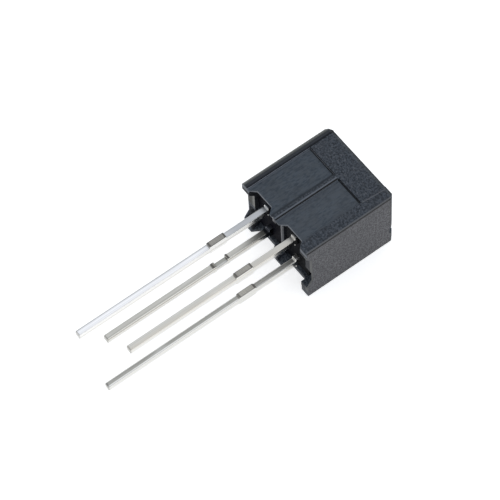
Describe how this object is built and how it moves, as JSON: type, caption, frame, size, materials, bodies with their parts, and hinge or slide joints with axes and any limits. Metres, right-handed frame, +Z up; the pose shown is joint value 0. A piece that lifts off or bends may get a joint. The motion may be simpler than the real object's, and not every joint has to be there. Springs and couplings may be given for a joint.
{
  "type": "reflective optical sensor",
  "caption": "Through-hole reflective optical sensor: emitter and phototransistor side by side in a black moulded housing with straight rectangular leads.",
  "frame": {"origin": "centre of the housing's lower broad face, on which the part lies", "axes": "+X across the two cavities from the emitter to the detector, +Y from the leads to the sensing face, +Z up from the lower broad face"},
  "size_m": [0.0064, 0.0201, 0.005],
  "materials": {
    "housing_plastic": "fine moulded grain",
    "package_epoxy": "smooth dark epoxy",
    "lead_tin": "bright tin plating with drawn lines",
    "chip": "smooth",
    "chip_adhesive": "silver filled adhesive",
    "wire_gold": "fine bright wire"
  },
  "bodies": {
    "root": {"housing": "housing_plastic", "led_package": "package_epoxy", "led_anode_lead": "lead_tin", "led_cathode_lead": "lead_tin", "led_chip": "chip", "led_chip_bond": "chip_adhesive", "led_bond_wire": "wire_gold", "phototransistor_package": "package_epoxy", "phototransistor_collector_lead": "lead_tin", "phototransistor_emitter_lead": "lead_tin", "phototransistor_chip": "chip", "phototransistor_chip_bond": "chip_adhesive", "phototransistor_bond_wire": "wire_gold"}
  },
  "joints": []
}
